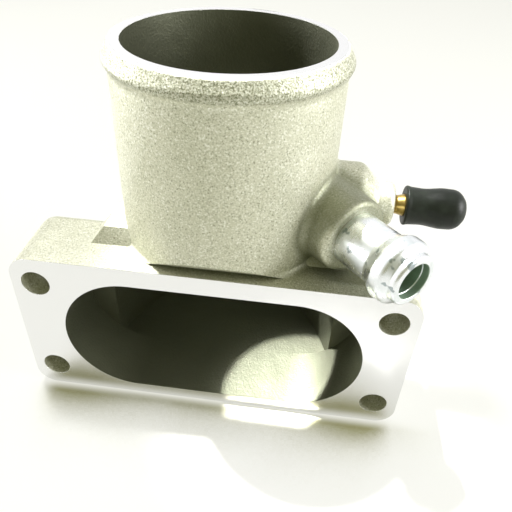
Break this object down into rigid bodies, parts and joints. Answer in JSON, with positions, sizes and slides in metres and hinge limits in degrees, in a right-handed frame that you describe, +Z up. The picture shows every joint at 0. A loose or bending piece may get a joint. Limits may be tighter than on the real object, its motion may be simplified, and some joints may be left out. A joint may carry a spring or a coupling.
{
  "type": "intake elbow",
  "caption": "Cast aluminium intake elbow: a flanged obround opening turns up into a beaded hose neck, with a side hose nipple and a capped vacuum nipple.",
  "frame": {"origin": "centre of the four bolt holes, on the machined flange face", "axes": "+X along the flange's length, +Y into the elbow away from the flange face, +Z up the neck"},
  "size_m": [0.136, 0.077, 0.114],
  "materials": {
    "casting": "sand cast, machined on the flange face",
    "plated_steel": "bright zinc plated",
    "brass": "turned",
    "rubber": "satin moulded"
  },
  "bodies": {
    "elbow": {"elbow_casting": "casting", "hose_nipple": "plated_steel", "vacuum_nipple": "brass"},
    "cap": {"vacuum_cap": "rubber"}
  },
  "joints": [
    {"name": "cap_pull", "type": "slide", "parent": "elbow", "child": "cap", "axis": [1, 0, 0], "range_m": [0, 0.016]}
  ]
}
